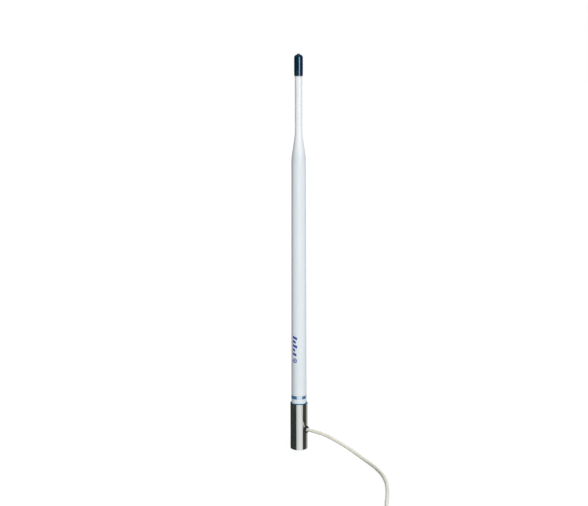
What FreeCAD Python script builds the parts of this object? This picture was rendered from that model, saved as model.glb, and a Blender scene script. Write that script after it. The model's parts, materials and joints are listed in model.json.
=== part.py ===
import FreeCAD, Part
import Sketcher
import math
import os

# An omnidirectional mast antenna. A white fibreglass radome stands in a polished ferrule
# with a female one-inch thread, and its coax leaves the ferrule through a side grommet.
#
# Frame, in millimetres: the origin is the centre of the ferrule's base face, +Z runs up the
# mast and -Y is the front. The cable side is built along local +X, then turned about Z by
# exit_angle. The spare cable lies in a tied coil on the surface that the ferrule stands on.

DIMENSIONS = {
    # ferrule
    "ferrule_radius": 15.0,
    "ferrule_height": 82.0,
    "base_chamfer": 0.6,
    "rim_chamfer": 0.8,
    "bore_chamfer": 0.3,
    "thread_minor_radius": 11.72,
    "thread_major_radius": 12.6,
    "thread_depth": 25.0,
    "thread_pitch": 1.8143,
    "thread_groove_half": 0.68,
    "thread_root_half": 0.12,
    "thread_turns": 13,
    "thread_first": 1.9,
    "thread_mouth_chamfer": 1.0,
    "groove_lead": 0.3,
    "relief_end": 27.5,
    "relief_radius": 12.9,
    "chamber_radius": 11.0,
    "socket_floor": 46.0,
    "socket_radius": 13.25,
    "side_hole_height": 35.5,
    "side_hole_radius": 4.5,
    "side_hole_overrun": 5.0,
    "exit_angle": -34.0,
    # radome and what is on it
    "radome_radius": 13.05,
    "radome_bore": 10.6,
    "radome_straight_top": 110.0,
    "shoulder_radius": 12.1,
    "shoulder_bottom": 503.0,
    "shoulder_top": 541.0,
    "shoulder_blend": 110.0,
    "bore_shoulder_bottom": 497.0,
    "neck_radius": 6.15,
    "neck_bore": 4.3,
    "neck_top_radius": 6.1,
    "radome_top": 667.0,
    "cap_bottom": 637.6,
    "cap_top": 672.0,
    "cap_radius": 7.25,
    "cap_mouth_radius": 7.1,
    "cap_taper_length": 9.0,
    "cap_top_gap": 0.02,
    "cap_mouth_gap": 0.05,
    "cap_shoulder": 4.2,
    "cap_roof": 669.5,
    "nub_radius": 2.8,
    "nub_height": 1.7,
    "nub_round": 1.0,
    "band_bottom": 90.1,
    "band_height": 5.3,
    "band_thickness": 0.2,
    "seal_depth": 1.2,
    "seal_proud": 0.55,
    "seal_waist_width": 0.32,
    "seal_waist_rise": 0.25,
    "bond_bottom": 46.4,
    # base plug, grommet and cable end
    "base_plug_bottom": 27.6,
    "base_plug_top": 29.6,
    "base_plug_boss_radius": 3.5,
    "base_plug_boss_drop": 1.4,
    "base_plug_chamfer": 0.5,
    "cable_radius": 3.0,
    "cable_joint_reach": 13.5,
    "cable_first_turn_reach": 37.0,
    "grommet_radius": 6.25,
    "grommet_bore": 3.05,
    "grommet_proud": 2.0,
    "grommet_head_length": 5.0,
    "grommet_head_round": 0.9,
    "grommet_neck_overlap": 0.6,
    "grommet_collar_radius": 5.7,
    "grommet_collar_length": 4.0,
    "grommet_inner_face": 8.8,
    "braid_radius": 2.3,
    "dielectric_radius": 1.45,
    "core_radius": 0.45,
    "jacket_end": 7.4,
    "braid_end": 3.6,
    "dielectric_end": 1.8,
    "core_bend": 2.0,
    "crimp_start": 4.4,
    "crimp_end": 7.0,
    "crimp_radius": 2.9,
    # matching network
    "board_half_width": 6.5,
    "board_thickness": 1.6,
    "board_bottom": 39.5,
    "board_top": 98.0,
    "sleeve_radius": 9.9,
    "sleeve_thickness": 0.5,
    "sleeve_bottom": 48.0,
    "sleeve_top": 104.0,
    "strap_thickness": 0.4,
    "strap_width": 3.0,
    "strap_tab_top": 54.0,
    "strap_gap": 0.25,
    "strap_rise": 1.0,
    "capacitor_radius": 3.4,
    "capacitor_thickness": 2.4,
    "capacitor_height": 55.0,
    "matching_coil_radius": 2.4,
    "matching_wire_radius": 0.4,
    "matching_coil_bottom": 67.0,
    "matching_coil_pitch": 2.4,
    "matching_coil_turns": 6,
    "core_joint_low_radius": 0.9,
    "core_joint_high_radius": 1.5,
    "core_joint_height": 1.0,
    "rod_joint_low_radius": 2.6,
    "rod_joint_high_radius": 1.9,
    "rod_joint_height": 2.0,
    # radiators and phasing coils
    "rod_radius": 1.5,
    "tip_rod_radius": 1.2,
    "lower_rod_top": 242.0,
    "middle_rod_bottom": 274.0,
    "middle_rod_top": 420.0,
    "upper_rod_bottom": 452.0,
    "upper_rod_top": 640.0,
    "former_radius": 5.0,
    "former_length": 44.0,
    "former_web_half": 1.0,
    "lower_former_bottom": 236.0,
    "upper_former_bottom": 414.0,
    "phasing_wire_radius": 0.6,
    "winding_gap": 0.02,
    "phasing_pitch": 3.6,
    "phasing_turns": 8,
    "phasing_inset": 7.0,
    "shrink_gap": 0.1,
    "shrink_thickness": 0.5,
    "shrink_inset": 3.0,
    "spacer_radius": 10.5,
    "spacer_thickness": 10.0,
    "tip_spacer_radius": 4.2,
    "tip_spacer_thickness": 8.0,
    "cushion_bottom": 645.0,
    "cushion_top": 660.0,
    # free cable, coil and plug
    "coil_x": 80.0,
    "coil_y": -400.0,
    "coil_inner_radius": 24.8,
    "coil_outer_radius": 55.3,
    "coil_bottom": 0.9,
    "coil_top": 22.8,
    "coil_rounding": 4.0,
    "tie_angle": 140.0,
    "tie_width": 9.0,
    "tie_thickness": 0.9,
    "tie_gap": 0.5,
    "plug_x": 21.5,
    "plug_y": -467.2,
    "plug_axis_height": 10.3,
    "plug_heading": 183.0,
    "crimp_sleeve_bore": 3.05,
    "crimp_sleeve_radius": 3.9,
    "crimp_sleeve_length": 13.0,
    "crimp_sleeve_lead": 0.6,
    "crimp_sleeve_lead_depth": 0.4,
    "plug_rear_radius": 4.6,
    "plug_shoulder_start": 15.5,
    "plug_shoulder_radius": 7.4,
    "plug_journal_start": 18.8,
    "plug_journal_radius": 6.2,
    "plug_flange_start": 22.7,
    "plug_flange_end": 24.4,
    "plug_flange_radius": 7.1,
    "plug_contact_radius": 4.05,
    "plug_contact_bore": 3.5,
    "plug_contact_end": 33.6,
    "plug_bore_start": 18.0,
    "plug_wire_bore": 0.8,
    "clip_groove_radius": 5.6,
    "clip_start": 21.75,
    "clip_end": 22.45,
    "clip_radius": 7.1,
    "gasket_end": 26.0,
    "gasket_radius": 6.9,
    "insulator_end": 24.0,
    "pin_base_radius": 1.5,
    "pin_base_end": 26.5,
    "pin_tip_radius": 0.83,
    "pin_end": 34.2,
    "pin_taper": 0.8,
    "pin_point_radius": 0.29,
    "nut_radius": 10.3,
    "nut_start": 19.0,
    "nut_wall_end": 21.5,
    "nut_wall_bore": 6.35,
    "nut_chamber_radius": 8.0,
    "nut_thread_start": 28.5,
    "nut_thread_radius": 7.43,
    "nut_thread_root": 7.95,
    "nut_thread_pitch": 1.058,
    "nut_thread_half": 0.38,
    "nut_root_half": 0.1,
    "nut_thread_turns": 8,
    "nut_thread_first": 29.4,
    "nut_end": 37.5,
    "nut_chamfer": 0.8,
    "nut_rear_chamfer": 0.6,
    "nut_lip_chamfer": 0.4,
    "nut_front_radius": 9.5,
    "nut_front_start": 33.5,
    "knurl_radius": 0.7,
    "knurl_stand_off": 0.2,
    "knurl_count": 24,
}

SPACER_HEIGHTS = [140.0, 196.0, 300.0, 372.0, 482.0]
TIP_SPACER_HEIGHTS = [566.0, 606.0]

# The free cable's route: out of the grommet, down to the surface in a long droop, then in a
# slow bend to the front, where it runs onto the outside of the coil.
FREE_ROUTE = [
    (53, -36, 30.8),
    (82, -55, 19.2),
    (108, -79, 6.8),
    (128, -114, 3.1),
    (138, -163, 3.1),
    (136, -222, 3.1),
    (128, -280, 3.1),
    (131.2, -334, 3.2),
    (132.2, -382, 3.9),
]
# The tail leaves the top of the coil and sinks to the plug, whose crimp sleeve it enters.
TAIL_ROUTE = [
    (82.8, -455.2, 17.6),
    (61, -464, 13.8),
    (34.8, -466.5, 10.3),
]
# The share of the shorter run beside a corner that the corner's arc takes up.
ARC_SHARE = 0.45
WIRE_ARCS_PER_TURN = 4

# Sketches are first drawn here, off the axes, and their constraints then move them.
START_CENTRE = 40.0
START_RADIUS = 9.0
START_DISTANCE = 30.0

# Tolerances, in cubic millimetres, in millimetres and as a share of the expected volume.
LEAST_CUT = 1e-6
EDGE_MATCH = 0.02
VOLUME_ERROR = 0.01

document = FreeCAD.newDocument("antenna")
sheet = document.addObject("Spreadsheet::Sheet", "dims")


def fill_sheet():
    for row, (name, value) in enumerate(DIMENSIONS.items(), start=1):
        sheet.set("A%d" % row, name)
        sheet.set("B%d" % row, "%g" % value)
        sheet.setAlias("B%d" % row, name)
    document.recompute()


def size(name):
    return float(sheet.get(name))


def bind(thing, **expressions):
    for name, expression in expressions.items():
        thing.setExpression(name, expression)
    return thing


def place(thing, x="0", y="0", z="0", turn=None):
    """Bind a placement to the sheet: a position, and an angle about Z in degrees."""
    if turn:
        thing.Placement.Rotation = FreeCAD.Rotation(FreeCAD.Vector(0, 0, 1), 1)
        thing.setExpression("Placement.Rotation.Angle", "(%s) * 1 deg" % turn)
    for letter, expression in (("x", x), ("y", y), ("z", z)):
        thing.setExpression("Placement.Base." + letter, expression)
    return thing


# ---- PartDesign helpers ---------------------------------------------------------------


def origin_feature(body, role):
    return [part for part in body.Origin.OriginFeatures if part.Role == role][0]


def new_body(label):
    return document.addObject("PartDesign::Body", label)


def outline_sketch(body, name, outline, plane="XZ_Plane"):
    """A closed polygon whose corners are pairs of sheet expressions, drawn first as a regular one."""
    sketch = body.newObject("Sketcher::SketchObject", name)
    sketch.AttachmentSupport = [(origin_feature(body, plane), "")]
    sketch.MapMode = "FlatFace"
    count = len(outline)
    angles = [2 * math.pi * n / count for n in range(count)]
    centre = FreeCAD.Vector(START_CENTRE, START_CENTRE, 0)
    spokes = [FreeCAD.Vector(math.cos(angle), math.sin(angle), 0) for angle in angles]
    corners = [centre + spoke * START_RADIUS for spoke in spokes]
    for n in range(count):
        sketch.addGeometry(Part.LineSegment(corners[n], corners[(n + 1) % count]), False)
    for n in range(count):
        sketch.addConstraint(Sketcher.Constraint("Coincident", n, 2, (n + 1) % count, 1))
    for n, (across, up) in enumerate(outline):
        for kind, expression in (("DistanceX", across), ("DistanceY", up)):
            index = sketch.addConstraint(Sketcher.Constraint(kind, -1, 1, n, 1, START_DISTANCE))
            sketch.setExpression("Constraints[%d]" % index, expression)
    return sketch


def circle_sketch(body, name, plane, circles):
    """Circles given as (across, up, radius) sheet expressions."""
    sketch = body.newObject("Sketcher::SketchObject", name)
    sketch.AttachmentSupport = [(origin_feature(body, plane), "")]
    sketch.MapMode = "FlatFace"
    for n, (across, up, radius) in enumerate(circles):
        centre = FreeCAD.Vector(START_CENTRE, START_CENTRE, 0)
        circle = Part.Circle(centre, FreeCAD.Vector(0, 0, 1), START_RADIUS)
        sketch.addGeometry(circle, False)
        for kind, expression in (("DistanceX", across), ("DistanceY", up)):
            index = sketch.addConstraint(Sketcher.Constraint(kind, -1, 1, n, 3, START_DISTANCE))
            sketch.setExpression("Constraints[%d]" % index, expression)
        index = sketch.addConstraint(Sketcher.Constraint("Radius", n, START_RADIUS))
        sketch.setExpression("Constraints[%d]" % index, radius)
    return sketch


def turned(label, outline, axis="V_Axis"):
    """A body turned from an outline of (radius, height), or (length, radius) about H_Axis."""
    body = new_body(label)
    sketch = outline_sketch(body, label + "_outline", outline)
    solid = body.newObject("PartDesign::Revolution", label + "_turned")
    solid.Profile = sketch
    solid.ReferenceAxis = (sketch, [axis])
    solid.Angle = 360
    document.recompute()
    return body


def groove(body, name, outline, axis="V_Axis"):
    before = body.Shape.Volume
    sketch = outline_sketch(body, name + "_outline", outline)
    cut = body.newObject("PartDesign::Groove", name)
    cut.Profile = sketch
    cut.ReferenceAxis = (sketch, [axis])
    cut.Angle = 360
    document.recompute()
    check_cut(body, before, name)
    return cut


def check_cut(body, before, name):
    if body.Shape.Volume >= before - LEAST_CUT:
        raise RuntimeError(name + " cut nothing")


def round_edges(body, name, radius, rings):
    """Fillet the circular edges at the given (radius, height) rings."""
    base = body.Tip
    names = []
    for ring_radius, height in rings:
        for index, edge in enumerate(base.Shape.Edges, start=1):
            if not isinstance(edge.Curve, Part.Circle):
                continue
            same_radius = abs(edge.Curve.Radius - ring_radius) < EDGE_MATCH
            if same_radius and abs(edge.Curve.Center.z - height) < EDGE_MATCH:
                names.append("Edge%d" % index)
    if len(names) < len(rings):
        raise RuntimeError(name + " found %d edges" % len(names))
    fillet = body.newObject("PartDesign::Fillet", name)
    fillet.Base = (base, names)
    fillet.setExpression("Radius", radius)
    document.recompute()
    return fillet


def thread_grooves(body, name, along, first, half, root_half, minor, major, pitch, turns):
    """Annular thread grooves: one V cut, repeated along the axis."""
    lead = minor + " - dims.groove_lead"
    corners = [
        (first + " - " + half, lead),
        (first + " - " + half, minor),
        (first + " - " + root_half, major),
        (first + " + " + root_half, major),
        (first + " + " + half, minor),
        (first + " + " + half, lead),
    ]
    if along == "V_Axis":
        corners = [(radius, length) for length, radius in corners]
    cut = groove(body, name, corners, along)
    pattern = body.newObject("PartDesign::LinearPattern", name + "_run")
    pattern.Originals = [cut]
    pattern.Direction = (cut.Profile[0], [along])
    bind(pattern, Length="%s * (%s - 1)" % (pitch, turns), Occurrences=turns)
    body.Tip = pattern
    before = cut.Shape.Volume
    document.recompute()
    check_cut(body, before, pattern.Name)


# ---- Part helpers ----------------------------------------------------------------------


def cylinder(name, radius, length, x="0", y="0", z="0", along="Z"):
    """A cylinder from (x, y, z) along Z, X or Y."""
    tool = document.addObject("Part::Cylinder", name)
    bind(tool, Radius=radius, Height=length)
    if along == "X":
        tool.Placement.Rotation = FreeCAD.Rotation(FreeCAD.Vector(0, 1, 0), 90)
    if along == "Y":
        tool.Placement.Rotation = FreeCAD.Rotation(FreeCAD.Vector(1, 0, 0), -90)
    return place(tool, x, y, z)


def box(name, length, width, height, x="0", y="0", z="0"):
    tool = document.addObject("Part::Box", name)
    bind(tool, Length=length, Width=width, Height=height)
    return place(tool, x, y, z)


def boolean(kind, name, base, tool):
    joined = document.addObject("Part::" + kind, name)
    joined.Base = base
    joined.Tool = tool
    return joined


def tube(name, outer, inner, length, z="0", along="Z", start="0"):
    """A round tube on the Z axis from height z, or on a line along X at height z."""
    if along == "Z":
        outside = cylinder(name + "_outside", outer, length, z=z)
        inside = cylinder(name + "_inside", inner, length, z=z)
    else:
        outside = cylinder(name + "_outside", outer, length, x=start, z=z, along="X")
        inside = cylinder(name + "_inside", inner, length, x=start, z=z, along="X")
    return boolean("Cut", name, outside, inside)


def group(name, members):
    compound = document.addObject("Part::Compound", name)
    compound.Links = members
    return compound


def turned_aside(name, member):
    """The same piece turned about the mast's axis to the side that the cable leaves by."""
    return place(group(name, [member]), turn="dims.exit_angle")


def plain_feature(name, shape):
    feature = document.addObject("Part::Feature", name)
    feature.Shape = shape
    return feature


def swept(path, radius, start, direction):
    ring = Part.Wire([Part.Circle(start, direction, radius).toShape()])
    return path.makePipeShell([ring], True, False)


def rounded_route(points):
    """Straight runs joined by tangent arcs, and the arcs' radii."""
    corners = [FreeCAD.Vector(*point) for point in points]
    edges = []
    radii = []
    at = corners[0]
    for before, corner, after in zip(corners, corners[1:], corners[2:]):
        inward = (before - corner).normalize()
        outward = (after - corner).normalize()
        half_turn = (math.pi - inward.getAngle(outward)) / 2
        reach = ARC_SHARE * min(before.distanceToPoint(corner), corner.distanceToPoint(after))
        radius = reach / math.tan(half_turn)
        start = corner + inward * reach
        end = corner + outward * reach
        inside = (inward + outward).normalize()
        middle = corner + inside * (radius / math.cos(half_turn) - radius)
        edges.append(Part.LineSegment(at, start).toShape())
        edges.append(Part.Arc(start, middle, end).toShape())
        radii.append(radius)
        at = end
    edges.append(Part.LineSegment(at, corners[-1]).toShape())
    return Part.Wire(edges), radii


def cable_run(name, points):
    path, radii = rounded_route(points)
    radius = size("cable_radius")
    direction = FreeCAD.Vector(*points[1]) - FreeCAD.Vector(*points[0])
    shape = swept(path, radius, FreeCAD.Vector(*points[0]), direction)
    expected = math.pi * radius**2 * path.Length
    if abs(shape.Volume / expected - 1) > VOLUME_ERROR:
        raise RuntimeError(name + " has the wrong volume")
    print("%s: %.1f mm long, arc radii %s" % (name, path.Length, ["%.0f" % r for r in radii]))
    return plain_feature(name, shape)


def wound_wire(name, radius, wire_radius, pitch, turns):
    """A coil of round wire about its own Z axis, from its own z = 0, in short arcs that climb."""

    def on_helix(turn):
        angle = 2 * math.pi * turn
        return FreeCAD.Vector(radius * math.cos(angle), radius * math.sin(angle), pitch * turn)

    edges = []
    for n in range(int(turns) * WIRE_ARCS_PER_TURN):
        start, middle, end = [on_helix((n + share) / WIRE_ARCS_PER_TURN) for share in (0, 0.5, 1)]
        edges.append(Part.Arc(start, middle, end).toShape())
    path = Part.Wire(edges)
    first = edges[0]
    shape = swept(path, wire_radius, on_helix(0), first.tangentAt(first.FirstParameter))
    expected = math.pi * wire_radius**2 * path.Length
    if abs(shape.Volume / expected - 1) > VOLUME_ERROR:
        raise RuntimeError(name + " has the wrong volume")
    return plain_feature(name, shape)


# ---- The mast's outside ----------------------------------------------------------------


def make_ferrule():
    outline = [
        ("dims.thread_minor_radius + dims.thread_mouth_chamfer", "0"),
        ("dims.ferrule_radius - dims.base_chamfer", "0"),
        ("dims.ferrule_radius", "dims.base_chamfer"),
        ("dims.ferrule_radius", "dims.ferrule_height - dims.rim_chamfer"),
        ("dims.ferrule_radius - dims.rim_chamfer", "dims.ferrule_height"),
        ("dims.socket_radius + dims.bore_chamfer", "dims.ferrule_height"),
        ("dims.socket_radius", "dims.ferrule_height - dims.bore_chamfer"),
        ("dims.socket_radius", "dims.socket_floor"),
        ("dims.chamber_radius", "dims.socket_floor"),
        ("dims.chamber_radius", "dims.relief_end"),
        ("dims.relief_radius", "dims.relief_end"),
        ("dims.relief_radius", "dims.thread_depth"),
        ("dims.thread_minor_radius", "dims.thread_depth"),
        ("dims.thread_minor_radius", "dims.thread_mouth_chamfer"),
    ]
    body = turned("ferrule", outline)
    thread_grooves(
        body,
        "ferrule_thread",
        "V_Axis",
        "dims.thread_first",
        "dims.thread_groove_half",
        "dims.thread_root_half",
        "dims.thread_minor_radius",
        "dims.thread_major_radius",
        "dims.thread_pitch",
        "dims.thread_turns",
    )
    hole = circle_sketch(
        body, "side_hole_outline", "YZ_Plane", [("0", "dims.side_hole_height", "dims.side_hole_radius")]
    )
    pocket = body.newObject("PartDesign::Pocket", "side_hole")
    pocket.Profile = hole
    pocket.Reversed = True
    pocket.setExpression("Length", "dims.ferrule_radius + dims.side_hole_overrun")
    before = body.Shape.Volume
    document.recompute()
    check_cut(body, before, "side_hole")
    return place(body, turn="dims.exit_angle")


def make_radome():
    outline = [
        ("dims.radome_bore", "dims.socket_floor"),
        ("dims.radome_radius", "dims.socket_floor"),
        ("dims.radome_radius", "dims.radome_straight_top"),
        ("dims.shoulder_radius", "dims.shoulder_bottom"),
        ("dims.neck_radius", "dims.shoulder_top"),
        ("dims.neck_top_radius", "dims.radome_top"),
        ("dims.neck_bore", "dims.radome_top"),
        ("dims.neck_bore", "dims.shoulder_top"),
        ("dims.radome_bore", "dims.bore_shoulder_bottom"),
    ]
    body = turned("radome", outline)
    rings = [
        (size("shoulder_radius"), size("shoulder_bottom")),
        (size("neck_radius"), size("shoulder_top")),
    ]
    round_edges(body, "shoulder_blends", "dims.shoulder_blend", rings)
    return body


def make_end_cap():
    outline = [
        ("0", "dims.cap_roof"),
        ("dims.neck_top_radius + dims.cap_top_gap", "dims.cap_roof"),
        ("dims.neck_top_radius + dims.cap_mouth_gap", "dims.cap_bottom"),
        ("dims.cap_mouth_radius", "dims.cap_bottom"),
        ("dims.cap_radius", "dims.cap_bottom + dims.cap_taper_length"),
        ("dims.cap_radius", "dims.cap_top - dims.cap_taper_length"),
        ("dims.cap_mouth_radius", "dims.cap_top"),
        ("dims.nub_radius", "dims.cap_top"),
        ("dims.nub_radius", "dims.cap_top + dims.nub_height"),
        ("0", "dims.cap_top + dims.nub_height"),
    ]
    body = turned("end_cap", outline)
    shoulder_ring = (size("cap_mouth_radius"), size("cap_top"))
    round_edges(body, "cap_shoulder_round", "dims.cap_shoulder", [shoulder_ring])
    nub_ring = (size("nub_radius"), size("cap_top") + size("nub_height"))
    round_edges(body, "nub_rounding", "dims.nub_round", [nub_ring])
    return body


def make_blue_band():
    outer = "dims.radome_radius + dims.band_thickness"
    return tube("blue_band", outer, "dims.radome_radius", "dims.band_height", "dims.band_bottom")


def make_mouth_seal():
    rim = "dims.ferrule_height"
    outline = [
        ("dims.radome_radius", rim + " - dims.seal_depth"),
        ("dims.socket_radius", rim + " - dims.seal_depth"),
        ("dims.socket_radius", rim + " - dims.bore_chamfer"),
        ("dims.socket_radius + dims.bore_chamfer", rim),
        ("dims.radome_radius + dims.seal_waist_width", rim + " + dims.seal_waist_rise"),
        ("dims.radome_radius", rim + " + dims.seal_proud"),
    ]
    return turned("mouth_seal", outline)


def make_epoxy_bond():
    length = "dims.ferrule_height - dims.seal_depth - dims.bond_bottom"
    return tube("epoxy_bond", "dims.socket_radius", "dims.radome_radius", length, "dims.bond_bottom")


def make_base_plug():
    outline = [
        ("0", "dims.base_plug_bottom - dims.base_plug_boss_drop"),
        ("dims.base_plug_boss_radius", "dims.base_plug_bottom - dims.base_plug_boss_drop"),
        ("dims.base_plug_boss_radius", "dims.base_plug_bottom"),
        ("dims.chamber_radius - dims.base_plug_chamfer", "dims.base_plug_bottom"),
        ("dims.chamber_radius", "dims.base_plug_bottom + dims.base_plug_chamfer"),
        ("dims.chamber_radius", "dims.base_plug_top"),
        ("0", "dims.base_plug_top"),
    ]
    return turned("base_plug", outline)


def make_grommet():
    """A head that saddles the ferrule, a neck through its wall and a collar inside, with a bore."""
    face = "dims.ferrule_radius + dims.grommet_proud"
    head = on_cable_line("grommet_head", "dims.grommet_radius", "dims.grommet_head_length",
                         face + " - dims.grommet_head_length")
    rounded = document.addObject("Part::Fillet", "grommet_head_rounded")
    rounded.Base = head
    document.recompute()
    rounded.Edges = [
        (index, size("grommet_head_round"), size("grommet_head_round"))
        for index, edge in enumerate(head.Shape.Edges, start=1)
        if edge.BoundBox.XLength < EDGE_MATCH and edge.BoundBox.XMin > size("ferrule_radius")
    ]
    mast = cylinder("grommet_mast", "dims.ferrule_radius", "dims.ferrule_height")
    saddle = boolean("Cut", "grommet_saddle", rounded, mast)
    inner_face = "dims.grommet_inner_face"
    neck_length = "dims.ferrule_radius + dims.grommet_neck_overlap - " + inner_face
    neck = on_cable_line("grommet_neck", "dims.side_hole_radius", neck_length, inner_face)
    collar_length = "dims.grommet_collar_length"
    collar = on_cable_line("grommet_collar", "dims.grommet_collar_radius", collar_length, inner_face)
    chamber = cylinder("grommet_chamber", "dims.chamber_radius", "dims.ferrule_height")
    inner_lip = boolean("Common", "grommet_inner_lip", collar, chamber)
    stem = boolean("Fuse", "grommet_stem", neck, inner_lip)
    whole = boolean("Fuse", "grommet_whole", saddle, stem)
    cable_hole = on_cable_line("grommet_cable_hole", "dims.grommet_bore", face, "0")
    return place(boolean("Cut", "cable_grommet", whole, cable_hole), turn="dims.exit_angle")


def on_cable_line(name, radius, length, start):
    """A cylinder on the line that the cable leaves by, before that line is turned aside."""
    return cylinder(name, radius, length, x=start, z="dims.side_hole_height", along="X")


# ---- The cable's end inside the ferrule ------------------------------------------------


def make_cable_end():
    axis = "dims.side_hole_height"
    layers = [
        ("coax_jacket_end", "dims.cable_radius", "dims.braid_radius", "dims.jacket_end"),
        ("coax_braid", "dims.braid_radius", "dims.dielectric_radius", "dims.braid_end"),
        ("coax_dielectric", "dims.dielectric_radius", "dims.core_radius", "dims.dielectric_end"),
    ]
    for name, outer, inner, start in layers:
        layer = tube(name, outer, inner, "dims.cable_joint_reach - " + start, axis, "X", start)
        place(layer, turn="dims.exit_angle")
    start = "dims.crimp_start"
    length = "dims.crimp_end - " + start
    crimp = tube("braid_crimp", "dims.crimp_radius", "dims.braid_radius", length, axis, "X", start)
    place(crimp, turn="dims.exit_angle")


def make_coax_core():
    """The bare core turns up from the cable's line to the board's lower edge."""
    height = size("side_hole_height")
    bend = size("core_bend")
    turn_start = FreeCAD.Vector(size("dielectric_end"), 0, height)
    eighth = math.pi / 4
    turn_middle = turn_start + FreeCAD.Vector(-bend * math.sin(eighth), 0, bend * (1 - math.cos(eighth)))
    turn_end = turn_start + FreeCAD.Vector(-bend, 0, bend)
    joint_point = FreeCAD.Vector(size("cable_joint_reach"), 0, height)
    pad_point = FreeCAD.Vector(turn_end.x, 0, size("board_bottom"))
    path = Part.Wire(
        [
            Part.LineSegment(joint_point, turn_start).toShape(),
            Part.Arc(turn_start, turn_middle, turn_end).toShape(),
            Part.LineSegment(turn_end, pad_point).toShape(),
        ]
    )
    shape = swept(path, size("core_radius"), joint_point, FreeCAD.Vector(-1, 0, 0))
    feature = plain_feature("coax_core", shape)
    return place(feature, turn="dims.exit_angle")


def make_ground_strap():
    """A folded strip from the braid crimp's crown, out and up to the ground sleeve's inside."""
    thick = " - dims.strap_thickness"
    crown = "dims.side_hole_height + dims.crimp_radius"
    ledge = "dims.sleeve_bottom + dims.strap_rise"
    outside = "dims.sleeve_radius - dims.sleeve_thickness - dims.strap_gap"
    outline = [
        ("dims.crimp_start", crown),
        ("dims.crimp_end", crown),
        ("dims.crimp_end", ledge),
        (outside, ledge),
        (outside, "dims.strap_tab_top"),
        (outside + thick, "dims.strap_tab_top"),
        (outside + thick, ledge + " + dims.strap_thickness"),
        ("dims.crimp_end" + thick, ledge + " + dims.strap_thickness"),
        ("dims.crimp_end" + thick, crown + " + dims.strap_thickness"),
        ("dims.crimp_start", crown + " + dims.strap_thickness"),
    ]
    body = new_body("ground_strap")
    sketch = outline_sketch(body, "ground_strap_outline", outline)
    pad = body.newObject("PartDesign::Pad", "ground_strap_pad")
    pad.Profile = sketch
    pad.Midplane = True
    pad.setExpression("Length", "dims.strap_width")
    return place(body, turn="dims.exit_angle")


# ---- Matching network ------------------------------------------------------------------


def make_feed_board():
    width = "2 * dims.board_half_width"
    height = "dims.board_top - dims.board_bottom"
    corner = ("-dims.board_half_width", "-dims.board_thickness / 2", "dims.board_bottom")
    return turned_aside("feed_board", box("board_blank", width, "dims.board_thickness", height, *corner))


def make_feed_capacitor():
    thickness = "dims.capacitor_thickness"
    face = "-dims.board_thickness / 2 - " + thickness
    height = "dims.capacitor_height"
    disc = cylinder("capacitor_disc", "dims.capacitor_radius", thickness, "0", face, height, "Y")
    return turned_aside("feed_capacitor", disc)


def make_matching_coil():
    radius = size("matching_coil_radius")
    wire_radius = size("matching_wire_radius")
    pitch = size("matching_coil_pitch")
    wire = wound_wire("matching_wire", radius, wire_radius, pitch, size("matching_coil_turns"))
    outside = "dims.matching_coil_radius + dims.matching_wire_radius + dims.winding_gap"
    place(wire, y="-dims.board_thickness / 2 - (%s)" % outside, z="dims.matching_coil_bottom")
    return turned_aside("matching_coil", wire)


def make_ground_sleeve():
    inner = "dims.sleeve_radius - dims.sleeve_thickness"
    length = "dims.sleeve_top - dims.sleeve_bottom"
    return tube("ground_sleeve", "dims.sleeve_radius", inner, length, "dims.sleeve_bottom")


def make_solder_joints():
    """One cone where the core meets the board, and one where the board meets the lowest rod."""
    across = "dims.dielectric_end - dims.core_bend"
    bottom = "dims.board_bottom - dims.core_joint_height"
    lower = solder_cone("core_joint", "dims.core_radius", across, bottom)
    upper = solder_cone("rod_joint", "dims.rod_radius", "0", "dims.board_top")
    return group("solder_joints", [place(lower, turn="dims.exit_angle"), upper])


def solder_cone(name, bore, x, z):
    outside = document.addObject("Part::Cone", name + "_outside")
    height = "dims.%s_height" % name
    bind(outside, Radius1="dims.%s_low_radius" % name, Radius2="dims.%s_high_radius" % name, Height=height)
    place(outside, x, "0", z)
    inside = cylinder(name + "_inside", bore, height, x, z=z)
    return boolean("Cut", name, outside, inside)


# ---- Radiators -------------------------------------------------------------------------


def make_radiators():
    cylinder("lower_radiator", "dims.rod_radius", "dims.lower_rod_top - dims.board_top", z="dims.board_top")
    middle_length = "dims.middle_rod_top - dims.middle_rod_bottom"
    cylinder("middle_radiator", "dims.rod_radius", middle_length, z="dims.middle_rod_bottom")
    upper_length = "dims.upper_rod_top - dims.upper_rod_bottom"
    cylinder("upper_radiator", "dims.tip_rod_radius", upper_length, z="dims.upper_rod_bottom")


def make_phasing_stage(where, bottom, upper_bore):
    """A former that the two rods plug into, and the wire wound on it."""
    half = "dims.former_length / 2"
    bore_depth = half + " - dims.former_web_half"
    high_start = bottom + " + " + half + " + dims.former_web_half"
    outside = cylinder(where + "_former_outside", "dims.former_radius", "dims.former_length", z=bottom)
    low_bore = cylinder(where + "_former_low_bore", "dims.rod_radius", bore_depth, z=bottom)
    high_bore = cylinder(where + "_former_high_bore", upper_bore, bore_depth, z=high_start)
    half_bored = boolean("Cut", where + "_former_half_bored", outside, low_bore)
    boolean("Cut", where + "_coil_former", half_bored, high_bore)
    wire_radius = size("phasing_wire_radius")
    radius = size("former_radius") + wire_radius + size("winding_gap")
    name = where + "_phasing_coil"
    wire = wound_wire(name, radius, wire_radius, size("phasing_pitch"), size("phasing_turns"))
    place(wire, z=bottom + " + dims.phasing_inset")


def make_coil_sleeves():
    inner = "dims.former_radius + 2 * dims.phasing_wire_radius + dims.shrink_gap"
    outer = inner + " + dims.shrink_thickness"
    length = "dims.former_length - 2 * dims.shrink_inset"
    sleeves = []
    for where in ("lower", "upper"):
        bottom = "dims.%s_former_bottom + dims.shrink_inset" % where
        sleeves.append(tube(where + "_coil_sleeve", outer, inner, length, bottom))
    return group("coil_sleeves", sleeves)


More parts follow.
